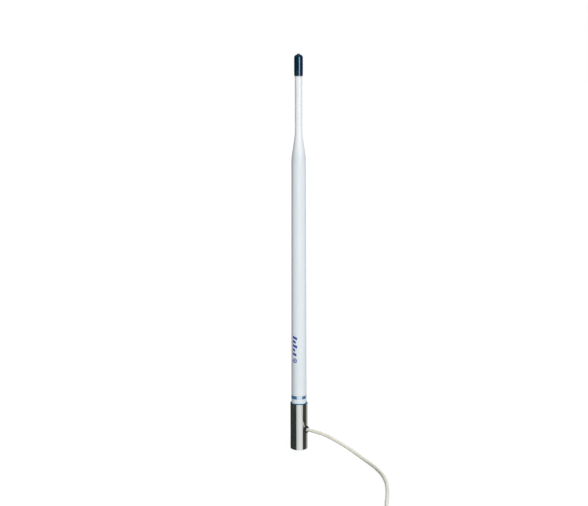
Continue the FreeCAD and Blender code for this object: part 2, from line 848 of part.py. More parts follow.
def make_spacers():
    spacer_row("foam_spacer", SPACER_HEIGHTS, "dims.spacer_radius", "dims.spacer_thickness")
    spacer_row("tip_spacer", TIP_SPACER_HEIGHTS, "dims.tip_spacer_radius", "dims.tip_spacer_thickness")
    length = "dims.cushion_top - dims.cushion_bottom"
    cylinder("top_cushion", "dims.tip_spacer_radius", length, z="dims.cushion_bottom")


def spacer_row(name, heights, outer, thickness):
    discs = [
        tube("%s_%d" % (name, n), outer, rod_radius_at(height), thickness, str(height))
        for n, height in enumerate(heights, start=1)
    ]
    return group(name + "s", discs)


def rod_radius_at(height):
    return "dims.rod_radius" if height < size("upper_rod_bottom") else "dims.tip_rod_radius"


# ---- The free cable, its coil and its plug ---------------------------------------------


def exit_point(reach):
    angle = math.radians(size("exit_angle"))
    return (reach * math.cos(angle), reach * math.sin(angle), size("side_hole_height"))


def make_free_cable():
    start = [exit_point(size("cable_joint_reach")), exit_point(size("cable_first_turn_reach"))]
    cable_run("coax_cable", start + FREE_ROUTE)
    heading = math.radians(size("plug_heading"))
    inside = size("crimp_sleeve_length")
    butt = (
        size("plug_x") + inside * math.cos(heading),
        size("plug_y") + inside * math.sin(heading),
        size("plug_axis_height"),
    )
    cable_run("cable_tail", TAIL_ROUTE + [butt])


def make_cable_coil():
    corners = [
        ("dims.coil_inner_radius", "dims.coil_bottom"),
        ("dims.coil_outer_radius", "dims.coil_bottom"),
        ("dims.coil_outer_radius", "dims.coil_top"),
        ("dims.coil_inner_radius", "dims.coil_top"),
    ]
    body = turned("cable_coil", corners)
    rings = [
        (size("coil_inner_radius"), size("coil_top")),
        (size("coil_outer_radius"), size("coil_top")),
    ]
    round_edges(body, "coil_round", "dims.coil_rounding", rings)
    return place(body, "dims.coil_x", "dims.coil_y")


def make_cable_tie():
    """A strap round the coil's bundle, lying on the surface under it."""
    gap = "dims.tie_gap"
    thick = "dims.tie_thickness"
    inner_x = "dims.coil_inner_radius - " + gap
    width = "dims.coil_outer_radius - dims.coil_inner_radius + 2 * " + gap
    height = "dims.coil_top - dims.coil_bottom + " + gap
    outer = box(
        "tie_outside", width + " + 2 * " + thick, "dims.tie_width", height + " + 2 * " + thick,
        inner_x + " - " + thick, "-dims.tie_width / 2", "dims.coil_bottom - " + thick,
    )
    corner = (inner_x, "-dims.tie_width / 2", "dims.coil_bottom")
    inner = box("tie_inside", width, "dims.tie_width", height, *corner)
    tie = boolean("Cut", "cable_tie", outer, inner)
    return place(tie, "dims.coil_x", "dims.coil_y", turn="dims.tie_angle")


def place_on_plug(thing):
    return place(thing, "dims.plug_x", "dims.plug_y", "dims.plug_axis_height", "dims.plug_heading")


def make_plug():
    end = "dims.crimp_sleeve_length"
    crimp = [
        ("0", "dims.crimp_sleeve_bore"),
        (end, "dims.crimp_sleeve_bore"),
        (end, "dims.crimp_sleeve_radius"),
        ("dims.crimp_sleeve_lead", "dims.crimp_sleeve_radius"),
        ("0", "dims.crimp_sleeve_radius - dims.crimp_sleeve_lead_depth"),
    ]
    place_on_plug(turned("plug_crimp_sleeve", crimp, "H_Axis"))
    shell = [
        (end, "dims.plug_wire_bore"),
        (end, "dims.plug_rear_radius"),
        ("dims.plug_shoulder_start", "dims.plug_rear_radius"),
        ("dims.plug_shoulder_start", "dims.plug_shoulder_radius"),
        ("dims.plug_journal_start", "dims.plug_shoulder_radius"),
        ("dims.plug_journal_start", "dims.plug_journal_radius"),
        ("dims.clip_start", "dims.plug_journal_radius"),
        ("dims.clip_start", "dims.clip_groove_radius"),
        ("dims.clip_end", "dims.clip_groove_radius"),
        ("dims.clip_end", "dims.plug_journal_radius"),
        ("dims.plug_flange_start", "dims.plug_journal_radius"),
        ("dims.plug_flange_start", "dims.plug_flange_radius"),
        ("dims.plug_flange_end", "dims.plug_flange_radius"),
        ("dims.plug_flange_end", "dims.plug_contact_radius"),
        ("dims.plug_contact_end", "dims.plug_contact_radius"),
        ("dims.plug_contact_end", "dims.plug_contact_bore"),
        ("dims.plug_bore_start", "dims.plug_contact_bore"),
        ("dims.plug_bore_start", "dims.plug_wire_bore"),
    ]
    place_on_plug(turned("plug_body", shell, "H_Axis"))
    clip = [
        ("dims.clip_start", "dims.clip_groove_radius"),
        ("dims.clip_end", "dims.clip_groove_radius"),
        ("dims.clip_end", "dims.clip_radius"),
        ("dims.clip_start", "dims.clip_radius"),
    ]
    place_on_plug(turned("plug_retaining_ring", clip, "H_Axis"))
    gasket = [
        ("dims.plug_flange_end", "dims.plug_contact_radius"),
        ("dims.gasket_end", "dims.plug_contact_radius"),
        ("dims.gasket_end", "dims.gasket_radius"),
        ("dims.plug_flange_end", "dims.gasket_radius"),
    ]
    place_on_plug(turned("plug_gasket", gasket, "H_Axis"))
    insulator = [
        ("dims.plug_bore_start", "dims.pin_base_radius"),
        ("dims.insulator_end", "dims.pin_base_radius"),
        ("dims.insulator_end", "dims.plug_contact_bore"),
        ("dims.plug_bore_start", "dims.plug_contact_bore"),
    ]
    place_on_plug(turned("plug_insulator", insulator, "H_Axis"))
    pin = [
        (end, "0"),
        (end, "dims.plug_wire_bore"),
        ("dims.plug_bore_start", "dims.plug_wire_bore"),
        ("dims.plug_bore_start", "dims.pin_base_radius"),
        ("dims.pin_base_end", "dims.pin_base_radius"),
        ("dims.pin_base_end + dims.pin_taper", "dims.pin_tip_radius"),
        ("dims.pin_end - dims.pin_taper", "dims.pin_tip_radius"),
        ("dims.pin_end", "dims.pin_point_radius"),
        ("dims.pin_end", "0"),
    ]
    place_on_plug(turned("plug_centre_pin", pin, "H_Axis"))


def make_coupling_nut():
    outline = [
        ("dims.nut_start", "dims.nut_wall_bore"),
        ("dims.nut_start", "dims.nut_radius - dims.nut_rear_chamfer"),
        ("dims.nut_start + dims.nut_rear_chamfer", "dims.nut_radius"),
        ("dims.nut_front_start", "dims.nut_radius"),
        ("dims.nut_front_start + dims.nut_radius - dims.nut_front_radius", "dims.nut_front_radius"),
        ("dims.nut_end - dims.nut_lip_chamfer", "dims.nut_front_radius"),
        ("dims.nut_end", "dims.nut_front_radius - dims.nut_lip_chamfer"),
        ("dims.nut_end", "dims.nut_thread_radius + dims.nut_chamfer"),
        ("dims.nut_end - dims.nut_chamfer", "dims.nut_thread_radius"),
        ("dims.nut_thread_start", "dims.nut_thread_radius"),
        ("dims.nut_thread_start", "dims.nut_chamber_radius"),
        ("dims.nut_wall_end", "dims.nut_chamber_radius"),
        ("dims.nut_wall_end", "dims.nut_wall_bore"),
    ]
    body = turned("coupling_nut", outline, "H_Axis")
    thread_grooves(
        body,
        "nut_thread",
        "H_Axis",
        "dims.nut_thread_first",
        "dims.nut_thread_half",
        "dims.nut_root_half",
        "dims.nut_thread_radius",
        "dims.nut_thread_root",
        "dims.nut_thread_pitch",
        "dims.nut_thread_turns",
    )
    flute_centre = "dims.nut_radius + dims.knurl_stand_off"
    flute = circle_sketch(body, "knurl_outline", "YZ_Plane", [("0", flute_centre, "dims.knurl_radius")])
    pocket = body.newObject("PartDesign::Pocket", "knurl_flute")
    pocket.Profile = flute
    pocket.Reversed = True
    pocket.setExpression("Length", "dims.nut_end")
    before = body.Shape.Volume
    document.recompute()
    check_cut(body, before, "knurl_flute")
    knurl = body.newObject("PartDesign::PolarPattern", "knurl")
    knurl.Originals = [pocket]
    knurl.Axis = (flute, ["N_Axis"])
    knurl.Angle = 360
    knurl.setExpression("Occurrences", "dims.knurl_count")
    body.Tip = knurl
    before = pocket.Shape.Volume
    document.recompute()
    check_cut(body, before, "knurl")
    return place_on_plug(body)


# ---- Build, check and write --------------------------------------------------------------

NODES = [
    "ferrule", "radome", "end_cap", "blue_band", "mouth_seal", "epoxy_bond", "base_plug", "cable_grommet",
    "coax_jacket_end", "coax_braid", "coax_dielectric", "coax_core", "braid_crimp", "ground_strap",
    "feed_board", "feed_capacitor", "matching_coil", "ground_sleeve", "solder_joints",
    "lower_radiator", "middle_radiator", "upper_radiator", "lower_coil_former", "upper_coil_former",
    "lower_phasing_coil", "upper_phasing_coil", "coil_sleeves", "foam_spacers", "tip_spacers", "top_cushion",
    "coax_cable", "cable_tail", "cable_coil", "cable_tie", "plug_crimp_sleeve", "plug_body",
    "plug_retaining_ring", "plug_gasket", "plug_insulator", "plug_centre_pin", "coupling_nut",
]


def build():
    fill_sheet()
    make_ferrule()
    make_radome()
    make_end_cap()
    make_blue_band()
    make_mouth_seal()
    make_epoxy_bond()
    make_base_plug()
    make_grommet()
    make_cable_end()
    make_coax_core()
    make_ground_strap()
    make_feed_board()
    make_feed_capacitor()
    make_matching_coil()
    make_ground_sleeve()
    make_solder_joints()
    make_radiators()
    make_phasing_stage("lower", "dims.lower_former_bottom", "dims.rod_radius")
    make_phasing_stage("upper", "dims.upper_former_bottom", "dims.tip_rod_radius")
    make_coil_sleeves()
    make_spacers()
    make_free_cable()
    make_cable_coil()
    make_cable_tie()
    make_plug()
    make_coupling_nut()
    document.recompute()


def check():
    for thing in document.Objects:
        if "Invalid" in thing.State or "Error" in thing.State:
            raise RuntimeError(thing.Name + " failed: " + str(thing.State))
    for name in NODES:
        shape = document.getObject(name).Shape
        if shape.isNull() or not shape.isValid() or not shape.Solids:
            raise RuntimeError(name + " has no valid solid")


def write():
    os.makedirs("parts", exist_ok=True)
    for name in NODES:
        document.getObject(name).Shape.exportStep("parts/%s.step" % name)


build()
check()
write()
print("%d nodes written" % len(NODES))
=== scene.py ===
import json
import math

import bmesh
import bpy
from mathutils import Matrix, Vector


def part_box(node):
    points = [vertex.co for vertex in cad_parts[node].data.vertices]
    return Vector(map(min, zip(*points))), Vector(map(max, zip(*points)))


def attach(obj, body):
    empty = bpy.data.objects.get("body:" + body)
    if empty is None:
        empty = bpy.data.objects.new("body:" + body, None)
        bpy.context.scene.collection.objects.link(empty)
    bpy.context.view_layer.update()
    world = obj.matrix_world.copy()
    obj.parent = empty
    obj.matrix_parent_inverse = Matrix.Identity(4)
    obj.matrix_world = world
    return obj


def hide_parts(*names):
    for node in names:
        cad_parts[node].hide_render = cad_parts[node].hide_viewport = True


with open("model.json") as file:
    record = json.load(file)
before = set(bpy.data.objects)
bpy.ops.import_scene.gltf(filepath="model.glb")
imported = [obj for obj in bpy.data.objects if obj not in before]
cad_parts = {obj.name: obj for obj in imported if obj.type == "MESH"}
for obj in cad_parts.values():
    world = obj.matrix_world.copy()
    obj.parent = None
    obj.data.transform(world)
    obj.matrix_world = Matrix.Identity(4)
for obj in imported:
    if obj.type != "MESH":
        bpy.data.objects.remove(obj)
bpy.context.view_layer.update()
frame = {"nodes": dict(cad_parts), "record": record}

# An omnidirectional mast antenna, in metres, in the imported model's frame: the origin is the
# centre of the ferrule's base, +Z runs up the mast and -Y is the front. The CAD's own meshes are
# kept for the rigid pieces. The cable, its strap and the printed mark are made here.

NODES = frame["nodes"]
SCENE = bpy.context.scene

RADOME_RADIUS = 0.01305
SHOULDER_RADIUS = 0.0121
RADOME_STRAIGHT_TOP = 0.110
RADOME_SHOULDER = 0.503


# ---- Node trees ----------------------------------------------------------------------------


class Graph:
    """A material's or the world's node tree, with short calls for the nodes used here."""

    def __init__(self, owner):
        owner.use_nodes = True
        self.tree = owner.node_tree
        self.tree.nodes.clear()

    def node(self, kind, inputs=None, **settings):
        made = self.tree.nodes.new(kind)
        for name, value in settings.items():
            setattr(made, name, value)
        for name, value in (inputs or {}).items():
            self.feed(made.inputs[name], value)
        return made

    def feed(self, socket, value):
        """Link an output to the socket, or set the socket's own value. A colour is (r, g, b)."""
        if isinstance(value, bpy.types.NodeSocket):
            self.tree.links.new(value, socket)
        elif socket.type == "RGBA":
            socket.default_value = (*value, 1.0)
        else:
            socket.default_value = value

    def calculate(self, operation, *values):
        made = self.node("ShaderNodeMath", operation=operation)
        for socket, value in zip(made.inputs, values):
            self.feed(socket, value)
        return made.outputs["Value"]

    def ramp(self, factor, stops):
        """A colour by position from 0 to 1, straight between (position, colour) stops."""
        made = self.node("ShaderNodeValToRGB", {"Fac": factor})
        elements = made.color_ramp.elements
        while len(elements) < len(stops):
            elements.new(1.0)
        for element, (position, colour) in zip(elements, stops):
            element.position = position
            element.color = (*colour, 1.0)
        return made.outputs["Color"]

    def mix(self, factor, first, second):
        """The first colour at factor 0 and the second at 1. Sockets 6 and 7 are the node's colours."""
        made = self.node("ShaderNodeMix", {"Factor": factor}, data_type="RGBA")
        self.feed(made.inputs[6], first)
        self.feed(made.inputs[7], second)
        return made.outputs[2]

    def place(self, scale=(1, 1, 1)):
        coordinates = self.node("ShaderNodeTexCoord").outputs["Object"]
        return self.node("ShaderNodeMapping", {"Vector": coordinates, "Scale": scale}).outputs["Vector"]

    def axis(self, vector, name):
        return self.node("ShaderNodeSeparateXYZ", {"Vector": vector}).outputs[name]

    def noise(self, vector, scale, detail=2.0):
        inputs = {"Vector": vector, "Scale": scale, "Detail": detail}
        return self.node("ShaderNodeTexNoise", inputs).outputs["Fac"]

    def map_range(self, value, start, end, low, high):
        """The value from start to end mapped to low to high, and held there beyond both ends."""
        inputs = {"Value": value, "From Min": start, "From Max": end, "To Min": low, "To Max": high}
        return self.node("ShaderNodeMapRange", inputs).outputs["Result"]

    def spread(self, noise, low, high):
        """A noise mapped to low to high, from the middle of its range."""
        return self.map_range(noise, 0.3, 0.7, low, high)

    def band(self, value, start, end):
        """0 on the start's side and 1 on the end's side, with a straight slope between them."""
        return self.map_range(value, start, end, 0.0, 1.0)

    def bump(self, height, strength, distance):
        inputs = {"Height": height, "Strength": strength, "Distance": distance}
        return self.node("ShaderNodeBump", inputs).outputs["Normal"]

    def principled(self, colour, roughness, normal, others):
        """The shader and the material's output. The others are more of its inputs, by name."""
        inputs = {"Base Color": colour, "Roughness": roughness, "Normal": normal, **others}
        shader = self.node("ShaderNodeBsdfPrincipled", inputs)
        self.node("ShaderNodeOutputMaterial", {"Surface": shader.outputs["BSDF"]})


# ---- Materials -----------------------------------------------------------------------------

ROUGHNESS_SPREAD = 0.15
METAL = {"Metallic": 1.0}

# Plain surfaces by slot: colour, roughness, how far the colour varies, the scale of that noise,
# the grain's depth, the grain's scale, and the shader's other inputs.
SURFACES = {
    "blue_sealant": ((0.0, 0.36, 0.56), 0.4, 0.1, 300, 0.00002, 700, {"Specular IOR Level": 0.1}),
    "epoxy": ((0.7, 0.66, 0.5), 0.25, 0.06, 120, 0.00004, 500, {}),
    "black_plastic": ((0.022, 0.022, 0.024), 0.42, 0.15, 140, 0.00004, 1200, {}),
    "black_rubber": ((0.011, 0.013, 0.012), 0.45, 0.2, 220, 0.00005, 1500, {}),
    "cream_pvc": ((0.76, 0.74, 0.65), 0.38, 0.035, 90, 0.00003, 700, {"Coat Weight": 0.15}),
    "white_polyethylene": ((0.82, 0.82, 0.8), 0.45, 0.03, 150, 0.00003, 900, {}),
    "green_laminate": ((0.02, 0.19, 0.07), 0.3, 0.12, 260, 0.00003, 1400, {}),
    "ceramic": ((0.62, 0.28, 0.06), 0.4, 0.1, 300, 0.00005, 900, {}),
    "natural_nylon": ((0.8, 0.77, 0.66), 0.4, 0.04, 160, 0.00004, 900, {}),
    "black_shrink": ((0.015, 0.015, 0.016), 0.4, 0.15, 160, 0.00005, 500, {}),
    "white_foam": ((0.82, 0.82, 0.8), 0.85, 0.06, 300, 0.0002, 1400, {}),
    "black_hook_tape": ((0.014, 0.014, 0.016), 0.8, 0.3, 500, 0.00025, 2600, {"Sheen Weight": 0.4}),
    "red_silicone": ((0.42, 0.03, 0.02), 0.4, 0.1, 260, 0.00004, 900, {}),
    "white_ptfe": ((0.83, 0.83, 0.82), 0.4, 0.03, 200, 0.00003, 900, {}),
    "mark_ink": ((0.016, 0.05, 0.36), 0.35, 0.12, 500, 0.00001, 1500, {}),
    "tinned_braid": ((0.6, 0.58, 0.55), 0.35, 0.2, 500, 0.0001, 1800, METAL),
    "solder": ((0.7, 0.7, 0.72), 0.25, 0.1, 300, 0.00005, 800, METAL),
    "nickel_plate": ((0.72, 0.7, 0.66), 0.2, 0.05, 120, 0.00001, 1600, METAL),
    "spring_steel": ((0.42, 0.42, 0.44), 0.3, 0.08, 200, 0.00001, 1600, METAL),
    "gold_plate": ((0.9, 0.62, 0.2), 0.18, 0.06, 160, 0.00001, 1600, METAL),
}

# Copper and brass share a finish that is drawn out along Z.
DRAWN_METALS = {"copper": (0.78, 0.36, 0.18), "brass": (0.76, 0.56, 0.24)}
DRAWN_FINISH = (0.28, 0.12, 80, 0.00002, 1500, METAL)
DRAWN_STRETCH = (1, 1, 0.3)


def new_material(name):
    material = bpy.data.materials.new(name)
    return material, Graph(material)


def tone(colour, factor):
    return tuple(min(1.0, channel * factor) for channel in colour)


def surface(name, colour, roughness, variation, scale, grain, grain_scale, others, stretch=(1, 1, 1)):
    """A principled material with noise in its colour, roughness and bump."""
    material, graph = new_material(name)
    where = graph.place(stretch)
    cloud = graph.spread(graph.noise(where, scale, 3.0), 0.0, 1.0)
    colours = graph.mix(cloud, tone(colour, 1 - variation), tone(colour, 1 + variation))
    wear = graph.noise(where, scale * 2.3, 3.0)
    rough = graph.spread(wear, roughness * (1 - ROUGHNESS_SPREAD), roughness * (1 + ROUGHNESS_SPREAD))
    graph.principled(colours, rough, graph.bump(graph.noise(where, grain_scale), 1.0, grain), others)
    return material


def polished_steel():
    """Mirror-polished stainless bar, with faint turning lines round it and a soft haze."""
    material, graph = new_material("polished_steel")
    lines = graph.noise(graph.place((3, 3, 4200)), 1.0)
    haze = graph.noise(graph.place(), 45, 4.0)
    colours = graph.mix(graph.spread(haze, 0.0, 1.0), (0.60, 0.61, 0.605), (0.64, 0.645, 0.64))
    rough = graph.calculate("ADD", graph.spread(haze, 0.035, 0.06), graph.spread(lines, 0.0, 0.02))
    graph.principled(colours, rough, graph.bump(lines, 0.15, 0.000002), METAL)
    return material


def gelcoat():
    """Cool white gelcoat over glass fibre with a slight orange peel, painted lighter and more neutral
    above the shoulder.
    """
    material, graph = new_material("white_gelcoat")
    where = graph.place()
    cloud = graph.spread(graph.noise(graph.place((1, 1, 0.4)), 24, 3.0), 0.0, 1.0)
    weave = graph.noise(where, 420)
    lower = graph.mix(cloud, (0.725, 0.785, 0.82), (0.745, 0.80, 0.835))
    # Painted light: above the shoulder the colour is painted lighter and more neutral than on the lower
    # tube.
    painted_lighter_upper = graph.mix(cloud, (0.87, 0.88, 0.905), (0.885, 0.895, 0.92))
    above_shoulder = graph.band(graph.axis(where, "Z"), RADOME_SHOULDER, RADOME_SHOULDER + 0.04)
    plain = graph.mix(above_shoulder, lower, painted_lighter_upper)
    colours = graph.mix(graph.spread(weave, 0.0, 0.2), plain, (0.72, 0.77, 0.80))
    rough = graph.spread(graph.noise(where, 90, 4.0), 0.13, 0.18)
    graph.principled(colours, rough, graph.bump(weave, 0.3, 0.00001), {"Specular IOR Level": 0.4})
    return material


def navy_vinyl():
    """Glossy dipped vinyl with a barely uneven skin, and a painted teal reflection: its -X side is
    coloured greener than its +X side.
    """
    material, graph = new_material("navy_vinyl")
    where = graph.place()
    # Painted reflection: the colour is ramped across X, from a teal-green navy on the -X side to a bluer
    # navy on the +X side.
    across = graph.band(graph.axis(where, "X"), -0.006, 0.005)
    plain = graph.mix(across, (0.0002, 0.025, 0.036), (0.0002, 0.025, 0.088))
    colours = graph.mix(graph.spread(graph.noise(where, 90, 3.0), 0.0, 0.2), plain, (0.0003, 0.019, 0.055))
    rough = graph.spread(graph.noise(where, 150, 3.0), 0.08, 0.11)
    coat = {"Coat Weight": 1.0, "Coat IOR": 1.9, "Coat Roughness": 0.06}
    graph.principled(colours, rough, graph.bump(graph.noise(where, 120), 0.5, 0.00001), coat)
    return material


def foil_tape():
    """Blue mirror-faced tape with a painted dark reflection along its upper and lower edges."""
    material, graph = new_material("blue_tape")
    where = graph.place()
    low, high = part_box("blue_band")
    height = graph.axis(where, "Z")
    blotch = graph.spread(graph.noise(where, 260, 3.0), 0.0, 1.0)
    blue = graph.mix(blotch, (0.0, 0.30, 0.72), (0.0, 0.34, 0.80))
    # Painted reflection: a thin dark line is mixed into the colour along the tape's upper and lower edges.
    top = graph.band(height, high.z - 0.0011, high.z - 0.0008)
    bottom = graph.band(height, low.z + 0.0007, low.z + 0.0004)
    colours = graph.mix(graph.calculate("MAXIMUM", top, bottom), blue, (0.02, 0.045, 0.06))
    rough = graph.spread(graph.noise(where, 400, 3.0), 0.05, 0.09)
    mirror = {"IOR": 3.8, "Coat Weight": 1.0, "Coat IOR": 4.0}
    graph.principled(colours, rough, graph.bump(blotch, 0.3, 0.00001), mirror)
    return material


def make_materials():
    materials = {
        "polished_steel": polished_steel(),
        "white_gelcoat": gelcoat(),
        "navy_vinyl": navy_vinyl(),
        "blue_tape": foil_tape(),
    }
    for name, settings in SURFACES.items():
        materials[name] = surface(name, *settings)
    for name, colour in DRAWN_METALS.items():
        materials[name] = surface(name, colour, *DRAWN_FINISH, stretch=DRAWN_STRETCH)
    return materials


def dress_frame(materials):
    """Every CAD node takes the material that its record slot names."""
    slots = {row["node"]: row["material_slot"] for row in frame["record"]["subparts"]}
    for name, node in NODES.items():
        node.data.materials.clear()
        node.data.materials.append(materials[slots[name]])


# ---- Pieces made here ----------------------------------------------------------------------


def add_object(name, data, material):
    data.materials.append(material)
    made = bpy.data.objects.new(name, data)
    SCENE.collection.objects.link(made)
    return made


def add_mesh(name, shape, material):
    """An object made from a closed bmesh, which is freed."""
    bmesh.ops.recalc_face_normals(shape, faces=shape.faces)
    mesh = bpy.data.meshes.new(name)
    shape.to_mesh(mesh)
    shape.free()
    return add_object(name, mesh, material)


# ---- The free cable ------------------------------------------------------------------------

CABLE_DIAMETER = 0.006
EXIT_ANGLE = math.radians(-34)
EXIT_HEIGHT = 0.0355
JOINT_REACH = 0.0135
FIRST_TURN_REACH = 0.037
FREE_ROUTE = [
    (0.053, -0.036, 0.0308),
    (0.082, -0.055, 0.0192),
    (0.108, -0.079, 0.0068),
    (0.128, -0.114, 0.0031),
    (0.138, -0.163, 0.0031),
    (0.136, -0.222, 0.0031),
    (0.128, -0.280, 0.0031),
    (0.1312, -0.334, 0.0032),
    (0.1322, -0.382, 0.0039),
]
TAIL_ROUTE = [
    (0.0828, -0.4552, 0.0176),
    (0.061, -0.464, 0.0138),
    (0.0348, -0.4665, 0.0103),
]
PLUG_REAR = Vector((0.0215, -0.4672, 0.0103))
PLUG_HEADING = math.radians(183)
SLEEVE_LENGTH = 0.013
COIL_CENTRE = Vector((0.080, -0.400, 0.0))
COIL_PITCH = 0.0061
LAYER_RISE = 0.00528
LOWEST_TURN = 0.0039
MIDDLE_RADIUS = 0.040
TURNS_IN_LAYERS = (5, 4, 5, 4)
STEPS_PER_TURN = 16
STEP_SHARE = 0.25
LAST_ARC = math.radians(60)
LAST_ARC_STEPS = 3


def exit_point(reach):
    """A point on the line along which the cable leaves the ferrule, reach from the mast's axis."""
    return Vector((reach * math.cos(EXIT_ANGLE), reach * math.sin(EXIT_ANGLE), EXIT_HEIGHT))


def coil_slots():
    """(radius, height) of each turn: outside to inside, then back out on the layer above."""
    slots = []
    for layer, count in enumerate(TURNS_IN_LAYERS):
        row = [MIDDLE_RADIUS + (n - (count - 1) / 2) * COIL_PITCH for n in range(count)]
        if layer % 2 == 0:
            row.reverse()
        slots += [(radius, LOWEST_TURN + layer * LAYER_RISE) for radius in row]
    return slots


def on_coil(radius, angle, height):
    return COIL_CENTRE + Vector((radius * math.cos(angle), radius * math.sin(angle), height))


def coil_points():
    """Turns wound clockwise from the coil's right side; each steps to the next slot late in its turn."""
    slots = coil_slots()
    points = []
    for (radius, height), (next_radius, next_height) in zip(slots, slots[1:] + slots[-1:]):
        for step in range(STEPS_PER_TURN):
            share = step / STEPS_PER_TURN
            moved = max(0.0, (share - 1 + STEP_SHARE) / STEP_SHARE)
            here = radius + (next_radius - radius) * moved
            up = height + (next_height - height) * moved
            points.append(on_coil(here, -2 * math.pi * share, up))
    last_radius, last_height = slots[-1]
    for step in range(LAST_ARC_STEPS + 1):
        points.append(on_coil(last_radius, -LAST_ARC * step / LAST_ARC_STEPS, last_height))
    return points


def cable_points():
    heading = Vector((math.cos(PLUG_HEADING), math.sin(PLUG_HEADING), 0))
    start = [exit_point(JOINT_REACH), exit_point(FIRST_TURN_REACH)]
    free = [Vector(point) for point in FREE_ROUTE]
    tail = [Vector(point) for point in TAIL_ROUTE]
    return start + free + coil_points() + tail + [PLUG_REAR + heading * SLEEVE_LENGTH]


def make_cable(materials):
    curve = bpy.data.curves.new("coax_lead", "CURVE")
    curve.dimensions = "3D"
    curve.bevel_depth = CABLE_DIAMETER / 2
    curve.bevel_resolution = 5
    curve.use_fill_caps = True
    curve.resolution_u = 6
    spline = curve.splines.new("NURBS")
    points = cable_points()
    spline.points.add(len(points) - 1)
    for place, point in zip(spline.points, points):
        place.co = (*point, 1.0)
    spline.order_u = 3
    spline.use_endpoint_u = True
    cable = add_object("coax_lead", curve, materials["cream_pvc"])
    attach(cable, "mast")
    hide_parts("coax_cable", "cable_coil", "cable_tail")
    return cable


# ---- Printed mark --------------------------------------------------------------------------

MARK_BEARING = math.radians(-33)
MARK_TOP = 0.200
MARK_WIDTH = 0.0086
INK_SINK = 0.00015
INK_RISE = 0.00006
BAR_HEIGHT = 0.0044
BAR_STEP = 0.0072
BAR_SLANT = 0.0030
BAR_WIDTHS = (1.0, 0.7, 1.0, 0.55, 0.85)
BAR_STEPS = 10
RING_DROP = 0.0058
RING_INNER = 0.0026
RING_OUTER = 0.0040
DOT_INNER = 0.00005
DOT_OUTER = 0.0013
RING_STEPS = 32
STEPS_UP = 2


def radome_radius(height):
    share = max(0.0, (height - RADOME_STRAIGHT_TOP) / (RADOME_SHOULDER - RADOME_STRAIGHT_TOP))
    return RADOME_RADIUS + (SHOULDER_RADIUS - RADOME_RADIUS) * share


def on_radome(across, height, lift):
    """A point on the radome's skin, across metres round it from the mark's middle."""
    angle = MARK_BEARING + across / RADOME_RADIUS
    radius = radome_radius(height) + lift
    return Vector((radius * math.sin(angle), -radius * math.cos(angle), height))


def ink_patch(shape, place, steps_across, closed=False):
    """A thin closed film on the radome: place(u, v) gives (across, height) for u and v from 0 to 1."""
    columns = steps_across if closed else steps_across + 1
    layers = []
    for lift in (-INK_SINK, INK_RISE):
        rows = []
        for j in range(STEPS_UP + 1):
            places = [place(i / steps_across, j / STEPS_UP) for i in range(columns)]
            rows.append([shape.verts.new(on_radome(across, height, lift)) for across, height in places])
        layers.append(rows)
    low, high = layers
    for j in range(STEPS_UP):
        for i in range(steps_across):
            k = (i + 1) % columns
            shape.faces.new((high[j][i], high[j][k], high[j + 1][k], high[j + 1][i]))
            shape.faces.new((low[j][i], low[j + 1][i], low[j + 1][k], low[j][k]))
    for i in range(steps_across):
        k = (i + 1) % columns
        shape.faces.new((low[0][i], low[0][k], high[0][k], high[0][i]))
        shape.faces.new((low[-1][k], low[-1][i], high[-1][i], high[-1][k]))
    if not closed:
        for j in range(STEPS_UP):
            shape.faces.new((low[j + 1][0], low[j][0], high[j][0], high[j + 1][0]))
            shape.faces.new((low[j][-1], low[j + 1][-1], high[j + 1][-1], high[j][-1]))


def slanted_bar(top, width_share):
    """The places of one bar, for u across it and v down it."""
    def place(u, v):
        across = u * width_share - 0.5
        return across * MARK_WIDTH, top - BAR_HEIGHT * v - BAR_SLANT * across
    return place


def flat_ring(middle, inner, outer):
    """The places of one ring, for u round it and v outwards."""
    def place(u, v):
        reach = inner + (outer - inner) * v
        turn = 2 * math.pi * u
        return reach * math.cos(turn), middle + reach * math.sin(turn)
    return place


def make_mark(materials):
    """A plain printed mark: slanted bars of different lengths over a ring and a dot."""
    shape = bmesh.new()
    for n, width_share in enumerate(BAR_WIDTHS):
        ink_patch(shape, slanted_bar(MARK_TOP - n * BAR_STEP, width_share), BAR_STEPS)
    middle = MARK_TOP - len(BAR_WIDTHS) * BAR_STEP - RING_DROP
    for inner, outer in ((RING_INNER, RING_OUTER), (DOT_INNER, DOT_OUTER)):
        ink_patch(shape, flat_ring(middle, inner, outer), RING_STEPS, closed=True)
    mark = add_mesh("printed_mark", shape, materials["mark_ink"])
    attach(mark, "mast")


# ---- The strap round the coil --------------------------------------------------------------

STRAP_BEARING = math.radians(140)
STRAP_WIDTH = 0.0094
STRAP_THICKNESS = 0.0011
STRAP_EDGE = 0.0003
STRAP_SLACK = 0.0002
STRAP_CORNER = 0.0034
CORNER_STEPS = 8
LAP_START = -0.006
LAP_LENGTH = 0.018
LAP_RAMP = 0.004
LAP_GAP = 0.0001
LAP_STEPS = 14
TIP_CURL = 0.0012
CURL_FROM = 0.75
BUNDLE_INSIDE = 0.0248
BUNDLE_OUTSIDE = 0.0552
BUNDLE_BOTTOM = 0.0011
BUNDLE_TOP = 0.0228


def strap_loop(start, left, right, low, high, corner):
    """(reach, height, outward angle) once round the bundle's section, from the start on its top."""
    corners = [
        (right - corner, high - corner, 90), (right - corner, low + corner, 0),
        (left + corner, low + corner, -90), (left + corner, high - corner, -180),
    ]
    path = [(start, high, math.radians(90))]
    for reach, height, first in corners:
        for step in range(CORNER_STEPS + 1):
            turn = math.radians(first - step * 90 / CORNER_STEPS)
            path.append((reach + corner * math.cos(turn), height + corner * math.sin(turn), turn))
    return path


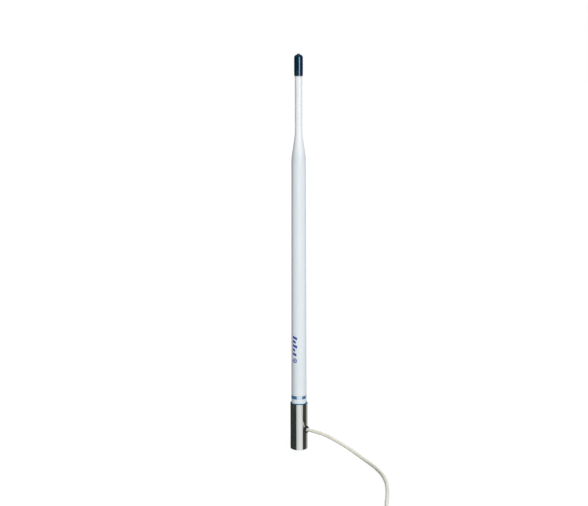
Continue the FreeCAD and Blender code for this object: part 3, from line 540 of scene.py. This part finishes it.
def strap_lap(start, high):
    """The strap's end: it rises onto the strap's own start, and its tip curls up a little."""
    path = []
    for step in range(1, LAP_STEPS + 1):
        share = step / LAP_STEPS
        past_start = LAP_START + LAP_LENGTH * share
        risen = min(1.0, max(0.0, (past_start + LAP_RAMP) / LAP_RAMP))
        curled = max(0.0, share - CURL_FROM) / (1 - CURL_FROM)
        height = high + (STRAP_THICKNESS + LAP_GAP) * risen + TIP_CURL * curled ** 2
        path.append((start + past_start, height, math.radians(90)))
    return path


def strap_path():
    """(reach, height, outward angle) along the middle of the strap's thickness."""
    offset = STRAP_SLACK + STRAP_THICKNESS / 2
    left, right = BUNDLE_INSIDE - offset, BUNDLE_OUTSIDE + offset
    low, high = BUNDLE_BOTTOM + STRAP_SLACK - offset, BUNDLE_TOP + offset
    start = (left + right) / 2
    return strap_loop(start, left, right, low, high, STRAP_CORNER + offset) + strap_lap(start, high)


def strap_section():
    """(across, out) of the strap's cross-section, with rounded edges."""
    half = STRAP_WIDTH / 2
    thick = STRAP_THICKNESS / 2
    flat = half - STRAP_EDGE
    inner = half * 0.3
    side = thick * 0.4
    return [
        (-flat, -thick), (-half, -side), (-half, side), (-flat, thick), (-inner, thick), (inner, thick),
        (flat, thick), (half, side), (half, -side), (flat, -thick), (inner, -thick), (-inner, -thick),
    ]


def make_strap(materials):
    """A hook-and-loop strap wound round the coil's bundle, its end pressed onto itself."""
    radial = Vector((math.cos(STRAP_BEARING), math.sin(STRAP_BEARING), 0))
    sideways = Vector((-math.sin(STRAP_BEARING), math.cos(STRAP_BEARING), 0))
    up = Vector((0, 0, 1))
    shape = bmesh.new()
    rings = []
    for reach, height, turn in strap_path():
        out = radial * math.cos(turn) + up * math.sin(turn)
        middle = COIL_CENTRE + radial * reach + up * height
        places = [middle + sideways * across + out * lift for across, lift in strap_section()]
        rings.append([shape.verts.new(place) for place in places])
    count = len(rings[0])
    for ring, following in zip(rings, rings[1:]):
        for i in range(count):
            k = (i + 1) % count
            shape.faces.new((ring[i], ring[k], following[k], following[i]))
    shape.faces.new(rings[0])
    shape.faces.new(rings[-1][::-1])
    for face in shape.faces:
        face.smooth = True
    strap = add_mesh("hook_and_loop_strap", shape, materials["black_hook_tape"])
    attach(strap, "mast")
    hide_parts("cable_tie")
    return strap


# ---- Camera and stage ----------------------------------------------------------------------

CAMERA_PLACE = (-0.0074, -1.866, 0.645)
CAMERA_DIP = math.radians(9.21)
CAMERA_ROLL = math.radians(0.12)
SENSOR_WIDTH = 36
LENS_LENGTH = 68.57
NEAREST = 0.05
FARTHEST = 100
FLOOR_RADIUS = 60
FLOOR_SIDES = 96
FLOOR_GLOW = 0.86


def make_camera():
    """A camera in front of the mast and level with its cap, looking slightly down."""
    data = bpy.data.cameras.new("camera")
    data.sensor_width = SENSOR_WIDTH
    data.lens = LENS_LENGTH
    data.clip_start = NEAREST
    data.clip_end = FARTHEST
    camera = bpy.data.objects.new("camera", data)
    camera.location = CAMERA_PLACE
    camera.rotation_euler = (math.radians(90) - CAMERA_DIP, CAMERA_ROLL, 0)
    SCENE.collection.objects.link(camera)
    SCENE.camera = camera


def floor_white():
    """White that mostly glows by itself, so that the floor stays even and shadows on it stay faint."""
    material, graph = new_material("floor_white")
    cloud = graph.spread(graph.noise(graph.place(), 3), 0.0, 1.0)
    inputs = {
        "Base Color": graph.mix(cloud, (0.15, 0.155, 0.16), (0.16, 0.165, 0.17)),
        "Roughness": 1.0,
        "Specular IOR Level": 0.0,
        "Emission Color": (1, 1, 1),
        "Emission Strength": FLOOR_GLOW,
    }
    shader = graph.node("ShaderNodeBsdfPrincipled", inputs)
    graph.node("ShaderNodeOutputMaterial", {"Surface": shader.outputs["BSDF"]})
    return material


def make_stage():
    """A wide pale floor that only the camera sees: the world lights the pieces in its place."""
    shape = bmesh.new()
    bmesh.ops.create_circle(shape, cap_ends=True, segments=FLOOR_SIDES, radius=FLOOR_RADIUS)
    mesh = bpy.data.meshes.new("floor")
    shape.to_mesh(mesh)
    shape.free()
    floor = add_object("floor", mesh, floor_white())
    floor.visible_glossy = False
    floor.visible_diffuse = False
    floor.visible_shadow = False


# ---- World and lights ----------------------------------------------------------------------


def grey(value):
    return (value, value, value)


# What glossy surfaces reflect: rings of cards and flags round the mast, one above another. Each
# ring has (bearing, colour) stops. A bearing is in degrees from the front, positive to the right.
# The lowest ring shows in the ferrule, band and bead, the middle one in the lower tube, and the
# level one in the slim top and the cap. The streak is a narrow card within the middle ring.
LOW_RING = [
    (-180, grey(1.1)), (-164, grey(1.0)), (-158, (0.032, 0.054, 0.041)), (-38, (0.045, 0.056, 0.048)),
    (-31, (0.78, 0.80, 0.79)), (-20, (0.87, 0.90, 0.885)), (-6, (1.05, 1.07, 1.06)),
    (8, (1.18, 1.18, 1.17)), (22, (1.17, 1.18, 1.165)), (36, (1.08, 1.10, 1.10)),
    (48, (0.95, 0.97, 0.97)), (54, (0.045, 0.06, 0.05)), (84, (0.055, 0.06, 0.045)),
    (94, (0.135, 0.085, 0.052)), (114, (0.15, 0.10, 0.07)), (122, (0.60, 0.62, 0.66)),
    (180, grey(0.66)),
]
MIDDLE_RING = [
    (-180, grey(0.4)), (-150, grey(0.3)), (-138, grey(0.04)), (-106, grey(0.04)), (-94, grey(2.0)),
    (-60, grey(2.0)), (-30, grey(1.3)), (-8, grey(0.9)), (40, grey(0.8)), (100, grey(1.4)),
    (122, grey(0.7)), (180, grey(0.65)),
]
STREAK = [(-2, grey(0.0)), (0, grey(1.0)), (10, grey(1.0)), (12, grey(0.0))]
STREAK_COLOUR = grey(5.0)
LEVEL_RING = [
    (-180, (0.005, 0.02, 0.015)), (11, (0.005, 0.01, 0.015)), (16, (2.5, 3.25, 3.65)),
    (35, (2.5, 3.25, 3.65)), (40, (0.005, 0.01, 0.03)), (180, (0.01, 0.02, 0.05)),
]
OVERHEAD = (0.05, 0.055, 0.06)

# Where each ring takes over from the one below it, as a start and an end in degrees above level.
MIDDLE_FROM = (-15.2, -14.0)
STREAK_FROM = (-9.6, -8.6)
LEVEL_FROM = (-3.4, -2.6)
OVERHEAD_FROM = (12.0, 20.0)

# What matt surfaces get from above and from below, and what the camera sees behind everything.
MATT_ABOVE = (0.19, 0.195, 0.20)
MATT_BELOW = (0.34, 0.345, 0.345)
MATT_CHANGE = 0.15
BACKGROUND = grey(1.0)

SUN_SPREAD = math.radians(55)


def card_ring(graph, turn, stops):
    return graph.ramp(turn, [((bearing + 180) / 360, colour) for bearing, colour in stops])


def make_world():
    """Even light for matt surfaces, and the rings of cards and flags for glossy ones."""
    world = bpy.data.worlds.new("studio")
    SCENE.world = world
    world.cycles.sampling_method = "NONE"
    graph = Graph(world)
    direction = graph.node("ShaderNodeTexCoord").outputs["Generated"]
    x, y, z = (graph.axis(direction, name) for name in "XYZ")
    bearing = graph.calculate("ARCTAN2", x, graph.calculate("MULTIPLY", y, -1.0))
    turn = graph.calculate("ADD", graph.calculate("DIVIDE", bearing, 2 * math.pi), 0.5)
    elevation = graph.calculate("MULTIPLY", graph.calculate("ARCSINE", z), 180 / math.pi)
    streak = card_ring(graph, turn, STREAK)
    in_streak = graph.calculate("MULTIPLY", streak, graph.band(elevation, *STREAK_FROM))
    middle = graph.mix(in_streak, card_ring(graph, turn, MIDDLE_RING), STREAK_COLOUR)
    glossy = graph.mix(graph.band(elevation, *MIDDLE_FROM), card_ring(graph, turn, LOW_RING), middle)
    glossy = graph.mix(graph.band(elevation, *LEVEL_FROM), glossy, card_ring(graph, turn, LEVEL_RING))
    glossy = graph.mix(graph.band(elevation, *OVERHEAD_FROM), glossy, OVERHEAD)
    matt = graph.mix(graph.band(z, MATT_CHANGE, -MATT_CHANGE), MATT_ABOVE, MATT_BELOW)
    rays = graph.node("ShaderNodeLightPath").outputs
    colour = graph.mix(rays["Is Glossy Ray"], matt, glossy)
    colour = graph.mix(rays["Is Camera Ray"], colour, BACKGROUND)
    shader = graph.node("ShaderNodeBackground", {"Color": colour, "Strength": 1.0})
    graph.node("ShaderNodeOutputWorld", {"Surface": shader.outputs["Background"]})


def make_sun(name, bearing, height, strength):
    """A very soft sun, height degrees above level; it lights matt surfaces only."""
    sun = bpy.data.lights.new(name, "SUN")
    sun.energy = strength
    sun.angle = SUN_SPREAD
    lamp = bpy.data.objects.new(name, sun)
    turn = math.radians(bearing)
    rise = math.radians(height)
    toward = Vector((math.sin(turn) * math.cos(rise), -math.cos(turn) * math.cos(rise), math.sin(rise)))
    lamp.rotation_mode = "QUATERNION"
    lamp.rotation_quaternion = toward.to_track_quat("Z", "Y")
    lamp.visible_glossy = False
    SCENE.collection.objects.link(lamp)


def make_lights():
    make_sun("front_key", bearing=15, height=35, strength=2.75)
    make_sun("floor_bounce", bearing=15, height=-35, strength=0.3)
    make_sun("back_fill", bearing=165, height=35, strength=2.3)


# ---- Build ---------------------------------------------------------------------------------


def build():
    SCENE.view_settings.view_transform = "Standard"
    make_camera()
    make_stage()
    make_world()
    make_lights()
    materials = make_materials()
    dress_frame(materials)
    make_mark(materials)
    cable = make_cable(materials)
    strap = make_strap(materials)


build()
